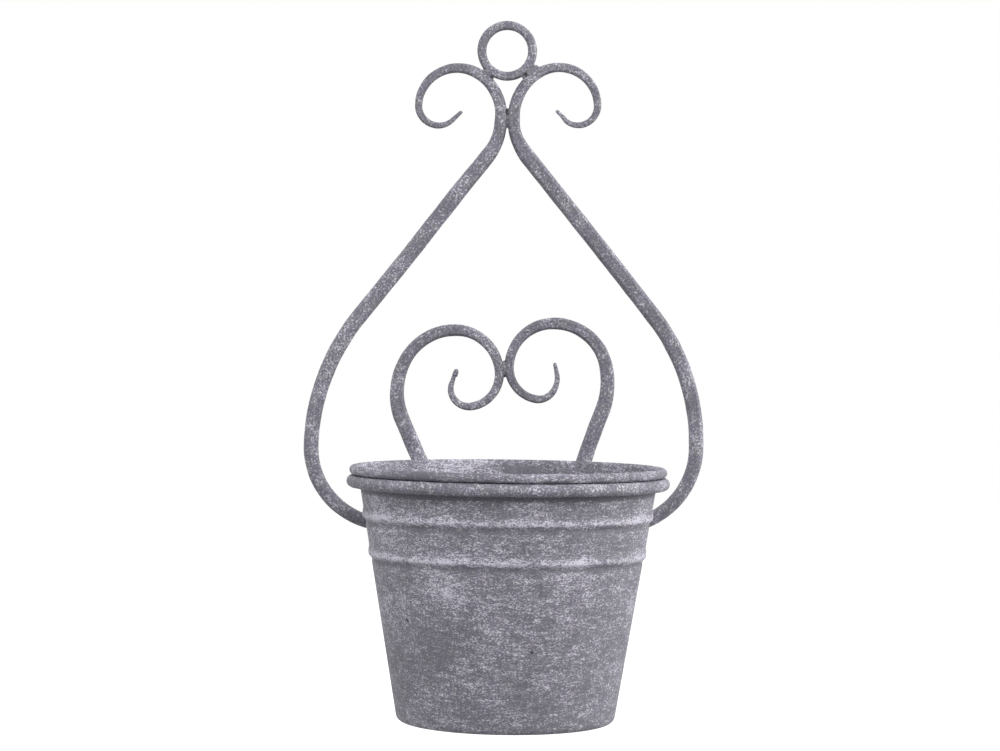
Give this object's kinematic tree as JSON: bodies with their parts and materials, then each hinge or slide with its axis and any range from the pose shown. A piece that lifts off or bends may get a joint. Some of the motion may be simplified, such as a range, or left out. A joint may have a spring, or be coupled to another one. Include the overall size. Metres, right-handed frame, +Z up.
{
  "type": "wall planter",
  "caption": "Wall-hung planter: tapered zinc pot with rolled rim and beads, seated in the hoop of a scrolled wrought frame with a heart and a hanging ring.",
  "frame": {"origin": "centre of the hanging ring, in the plane of the frame's rods", "axes": "+Z up along the planter's height, +X to the right as seen from the front, -Y towards the viewer and the pot, +Y towards the wall"},
  "size_m": [0.2658, 0.2036, 0.4516],
  "materials": {
    "zinc_rod": "matt, antiqued zinc wash on forged rod",
    "zinc_sheet": "matt, antiqued zinc wash on sheet",
    "rim_wire": "bright drawn wire, hidden inside the rim",
    "weld_metal": "matt, washed over with the rods"
  },
  "bodies": {
    "frame": {"hanging_ring": "zinc_rod", "arm_left": "zinc_rod", "arm_right": "zinc_rod", "heart_scroll_left": "zinc_rod", "heart_scroll_right": "zinc_rod", "pot_hoop": "zinc_rod", "weld_neck": "weld_metal", "weld_hearts": "weld_metal", "weld_ring_left": "weld_metal", "weld_ring_right": "weld_metal", "weld_hoop_left": "weld_metal", "weld_hoop_right": "weld_metal", "weld_foot_left": "weld_metal", "weld_foot_right": "weld_metal"},
    "pot": {"pot_wall": "zinc_sheet", "pot_base": "zinc_sheet", "rim_wire": "rim_wire"}
  },
  "joints": [
    {"name": "pot_lift", "type": "slide", "parent": "frame", "child": "pot", "axis": [0, 0, 1], "range_m": [0, 0.03]}
  ]
}
